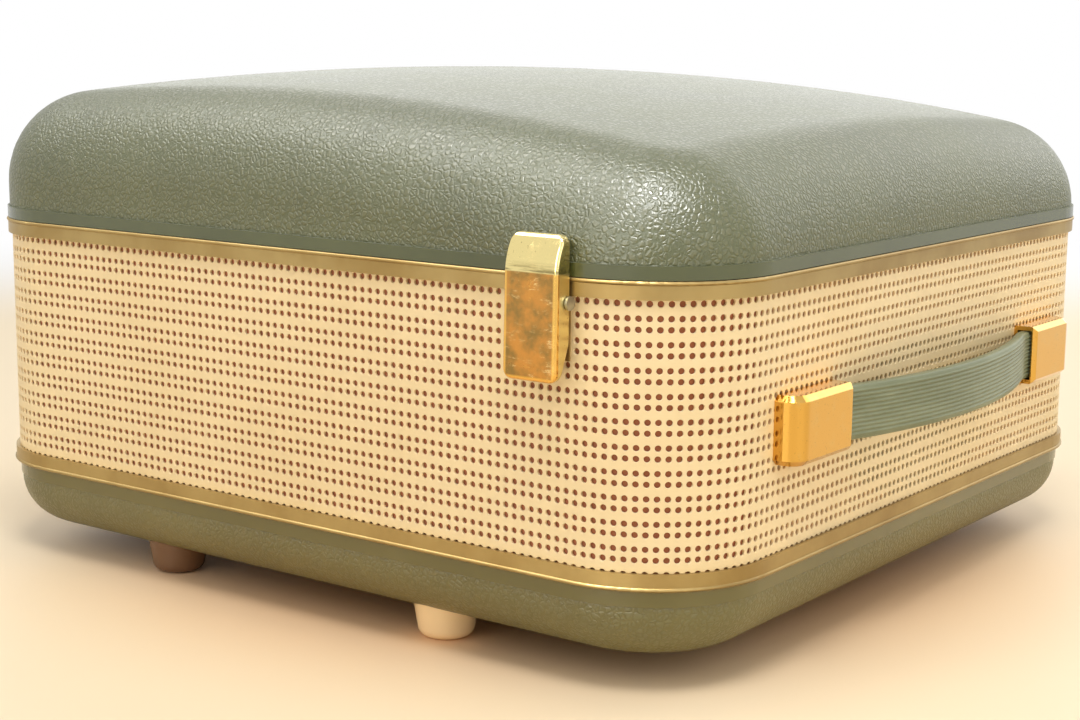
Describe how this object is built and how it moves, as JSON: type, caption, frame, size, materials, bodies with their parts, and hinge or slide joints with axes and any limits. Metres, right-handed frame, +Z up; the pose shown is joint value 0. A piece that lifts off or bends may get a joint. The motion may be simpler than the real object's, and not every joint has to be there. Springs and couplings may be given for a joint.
{
  "type": "portable record player",
  "caption": "Portable record player in a hinged carrying case with perforated walls, brass trims, catches and a strap handle; a rim-driven platter and tonearm lie under the lid.",
  "frame": {"origin": "on the floor, under the middle of the player's bounding box", "axes": "+Z up, -Y the handle side, +X to the right seen from the handle side"},
  "size_m": [0.4104, 0.4288, 0.2268],
  "materials": {
    "green_plastic": "pebble-grained semi-gloss moulding",
    "satin_brass": "satin",
    "polished_brass": "polished, lacquered, lightly scratched",
    "cream_enamel": "satin enamel on perforated sheet",
    "brown_board": "stained board",
    "deck_board": "leathercloth-covered board",
    "deck_enamel": "satin enamel",
    "cream_plastic": "gloss moulding",
    "strap_vinyl": "ribbed vinyl",
    "platter_metal": "turned",
    "black_rubber": "matt",
    "dark_plastic": "matt",
    "zinc_steel": "plated",
    "bright_steel": "bright",
    "core_steel": "black varnish",
    "coil_wrap": "waxed tape",
    "valve_glass": "clear",
    "cone_paper": "pulp"
  },
  "bodies": {
    "case": {"base_tray": "green_plastic", "feet": "cream_plastic", "foot_screws": "bright_steel", "lower_trim": "satin_brass", "upper_trim": "satin_brass", "perforated_band": "cream_enamel", "case_frame": "brown_board", "corner_cleats": "brown_board", "motor_board": "deck_board", "deck_plate": "deck_enamel", "deck_screws": "bright_steel", "spindle": "bright_steel", "idler_bracket": "bright_steel", "motor_laminations": "core_steel", "motor_coil": "coil_wrap", "motor_bridges": "bright_steel", "motor_mounts": "black_rubber", "arm_base": "bright_steel", "arm_rest": "cream_plastic", "potentiometers": "zinc_steel", "amplifier_chassis": "zinc_steel", "mains_transformer": "core_steel", "output_transformer": "core_steel", "valve_bases": "dark_plastic", "valves": "valve_glass", "speaker_basket": "zinc_steel", "speaker_cone": "cone_paper", "speaker_magnet": "core_steel", "mains_gland": "black_rubber", "left_handle_cap": "polished_brass", "right_handle_cap": "polished_brass", "handle_screws": "bright_steel", "handle_strap": "strap_vinyl", "left_latch_bracket": "satin_brass", "right_latch_bracket": "satin_brass", "latch_pins": "polished_brass", "hinge_lower_leaves": "satin_brass", "hinge_pins": "satin_brass"},
    "lid": {"lid_shell": "green_plastic", "lid_catches": "satin_brass", "hinge_upper_leaves": "satin_brass"},
    "left_latch": {"left_latch": "polished_brass"},
    "right_latch": {"right_latch": "polished_brass"},
    "platter": {"platter": "platter_metal", "platter_bush": "satin_brass", "platter_mat": "black_rubber"},
    "idler": {"idler_wheel": "dark_plastic", "idler_tyre": "black_rubber"},
    "motor_rotor": {"motor_shaft": "bright_steel"},
    "arm_yoke": {"arm_yoke": "bright_steel"},
    "tonearm": {"tonearm_shell": "cream_plastic", "headshell": "cream_plastic", "cartridge": "dark_plastic", "counterweight": "bright_steel"},
    "volume_knob": {"volume_knob": "cream_plastic"},
    "tone_knob": {"tone_knob": "cream_plastic"},
    "speed_lever": {"speed_lever": "cream_plastic"}
  },
  "joints": [
    {"name": "lid_hinge", "type": "hinge", "parent": "case", "child": "lid", "pos_m": [0, 0.2118, 0.155], "axis": [-1, 0, 0], "range_deg": [0, 95]},
    {"name": "left_latch_rock", "type": "hinge", "parent": "case", "child": "left_latch", "pos_m": [-0.1975, -0.1299, 0.1478], "axis": [0, -1, 0], "range_deg": [0, 6], "stiffness_Nm_per_rad": 0.5, "springref_deg": -11.46},
    {"name": "right_latch_rock", "type": "hinge", "parent": "case", "child": "right_latch", "pos_m": [0.1975, -0.1299, 0.1478], "axis": [0, 1, 0], "range_deg": [0, 6], "stiffness_Nm_per_rad": 0.5, "springref_deg": -11.46},
    {"name": "platter_spin", "type": "hinge", "parent": "case", "child": "platter", "pos_m": [-0.03, 0.0171, 0.158], "axis": [0, 0, -1], "continuous": true},
    {"name": "idler_spin", "type": "hinge", "parent": "case", "child": "idler", "pos_m": [-0.09908, -0.05198, 0.1435], "axis": [0, 0, -1], "continuous": true},
    {"name": "motor_spin", "type": "hinge", "parent": "case", "child": "motor_rotor", "pos_m": [-0.07978, -0.03268, 0.1435], "axis": [0, 0, -1], "continuous": true},
    {"name": "arm_sweep", "type": "hinge", "parent": "case", "child": "arm_yoke", "pos_m": [0.135, 0.1121, 0.152], "axis": [0, 0, -1], "range_deg": [0, 44]},
    {"name": "arm_lift", "type": "hinge", "parent": "arm_yoke", "child": "tonearm", "pos_m": [0.135, 0.1121, 0.174], "axis": [-1, 0, 0], "range_deg": [0, 6]},
    {"name": "volume_turn", "type": "hinge", "parent": "case", "child": "volume_knob", "pos_m": [0.048, -0.1509, 0.135], "axis": [0, 0, -1], "range_deg": [0, 280]},
    {"name": "tone_turn", "type": "hinge", "parent": "case", "child": "tone_knob", "pos_m": [0.108, -0.1509, 0.135], "axis": [0, 0, -1], "range_deg": [0, 280]},
    {"name": "speed_select", "type": "hinge", "parent": "case", "child": "speed_lever", "pos_m": [-0.135, -0.1009, 0.137], "axis": [0, 0, 1], "range_deg": [-25, 25]}
  ],
  "couplings": [
    {"joint": "idler_spin", "follows": "platter_spin", "ratio": 5.4545},
    {"joint": "motor_spin", "follows": "platter_spin", "ratio": -24}
  ]
}
